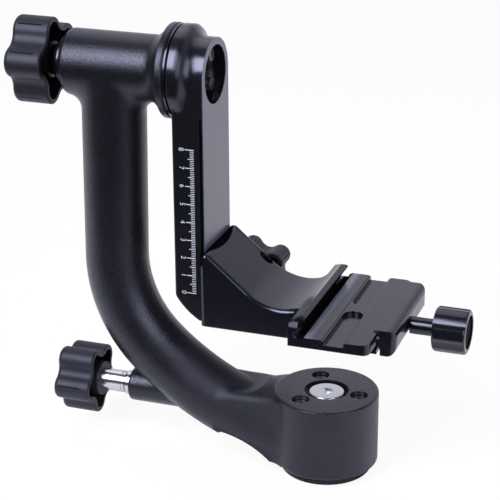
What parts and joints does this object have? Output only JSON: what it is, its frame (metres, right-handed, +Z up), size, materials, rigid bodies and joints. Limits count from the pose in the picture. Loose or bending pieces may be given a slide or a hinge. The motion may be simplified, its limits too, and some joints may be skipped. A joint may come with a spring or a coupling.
{
  "type": "gimbal tripod head",
  "caption": "Black gimbal tripod head: J-shaped arm on a panning foot, swing arm with a centimetre scale, and a cradle with a dovetail clamp.",
  "frame": {"origin": "centre of the foot's underside, on the pan axis, where the tripod screw enters", "axes": "+Z up along the pan axis; +X along the tilt axis, from the tilt lock knob towards the clamp; +Y to the side of the height lock knob"},
  "size_m": [0.2479, 0.0931, 0.2409],
  "materials": {
    "arm_coat": "fine textured powder coat on cast aluminium",
    "anodised": "satin black anodised",
    "turned_steel": "turned",
    "bearing_steel": "ground",
    "screw_steel": "plain steel",
    "screw_black": "black oxide",
    "spring_steel": "rolled strip",
    "chromed_steel": "bright chrome",
    "knob_plastic": "satin moulded",
    "gloss_black": "gloss",
    "nylon": "moulded"
  },
  "bodies": {
    "base": {"base_spindle": "anodised", "base_grub_screws": "screw_steel", "pan_cap_screw": "turned_steel"},
    "arm": {"main_arm": "arm_coat", "pan_bearing_lower": "bearing_steel", "pan_bearing_upper": "bearing_steel", "bearing_retainer": "anodised", "boss_screws": "screw_black", "tilt_bearing_left": "bearing_steel", "tilt_bearing_right": "bearing_steel", "tilt_bearing_spacer": "turned_steel", "tilt_end_collar": "anodised", "friction_ring": "anodised", "pan_lock_bush": "chromed_steel"},
    "pan_lock_rod": {"pan_brake_pad": "nylon", "pan_push_rod": "turned_steel"},
    "pan_lock_knob": {"pan_lock_shaft": "chromed_steel", "pan_lock_knob": "knob_plastic", "pan_knob_washer": "knob_plastic"},
    "swing": {"tilt_axle": "turned_steel", "swing_arm": "anodised", "hub_screws": "screw_steel", "stop_screw": "screw_black"},
    "tilt_lock_washer": {"tilt_knob_washer": "knob_plastic"},
    "tilt_lock_knob": {"tilt_lock_knob": "knob_plastic", "tilt_lock_stud": "screw_steel"},
    "cradle": {"cradle": "anodised", "guide_pins": "turned_steel", "clamp_springs": "spring_steel"},
    "height_lock_washer": {"height_lock_washer": "knob_plastic"},
    "height_lock_knob": {"height_lock_knob": "knob_plastic", "height_lock_stud": "screw_steel"},
    "jaw": {"movable_jaw": "anodised"},
    "clamp_knob": {"clamp_screw": "screw_steel", "clamp_sleeve": "gloss_black", "clamp_knob": "gloss_black", "clamp_knob_cap": "gloss_black"}
  },
  "joints": [
    {"name": "pan", "type": "hinge", "parent": "base", "child": "arm", "pos_m": [0, 0, 0], "axis": [0, 0, 1], "continuous": true},
    {"name": "tilt", "type": "hinge", "parent": "arm", "child": "swing", "pos_m": [0, 0, 0.2159], "axis": [1, 0, 0], "continuous": true},
    {"name": "height", "type": "slide", "parent": "swing", "child": "cradle", "axis": [0, 0, 1], "range_m": [0, 0.06]},
    {"name": "pan_lock_travel", "type": "slide", "parent": "arm", "child": "pan_lock_rod", "axis": [1, 0, 0], "range_m": [-0.00125, 0.00025]},
    {"name": "pan_lock_turn", "type": "hinge", "parent": "pan_lock_rod", "child": "pan_lock_knob", "pos_m": [-0.14, 0, 0.0312], "axis": [1, 0, 0], "range_deg": [-360, 72]},
    {"name": "tilt_lock_travel", "type": "slide", "parent": "swing", "child": "tilt_lock_washer", "axis": [1, 0, 0], "range_m": [-0.00125, 0.00025]},
    {"name": "tilt_lock_turn", "type": "hinge", "parent": "tilt_lock_washer", "child": "tilt_lock_knob", "pos_m": [-0.16, 0, 0.2159], "axis": [1, 0, 0], "range_deg": [-360, 72]},
    {"name": "height_lock_travel", "type": "slide", "parent": "cradle", "child": "height_lock_washer", "axis": [0, 1, 0], "range_m": [-0.00025, 0.00125]},
    {"name": "height_lock_turn", "type": "hinge", "parent": "height_lock_washer", "child": "height_lock_knob", "pos_m": [-0.052, 0.041, 0.092], "axis": [0, 1, 0], "range_deg": [-72, 360]},
    {"name": "jaw_travel", "type": "slide", "parent": "cradle", "child": "jaw", "axis": [1, 0, 0], "range_m": [-0.00025, 0.005]},
    {"name": "clamp_knob_turn", "type": "hinge", "parent": "jaw", "child": "clamp_knob", "pos_m": [0.06, 0, 0.0902], "axis": [1, 0, 0], "range_deg": [-72, 1440]}
  ],
  "couplings": [
    {"joint": "pan_lock_turn", "follows": "pan_lock_travel", "rad_per_m": 5026.5},
    {"joint": "tilt_lock_turn", "follows": "tilt_lock_travel", "rad_per_m": 5026.5},
    {"joint": "height_lock_turn", "follows": "height_lock_travel", "rad_per_m": 5026.5},
    {"joint": "clamp_knob_turn", "follows": "jaw_travel", "rad_per_m": 5026.5}
  ]
}
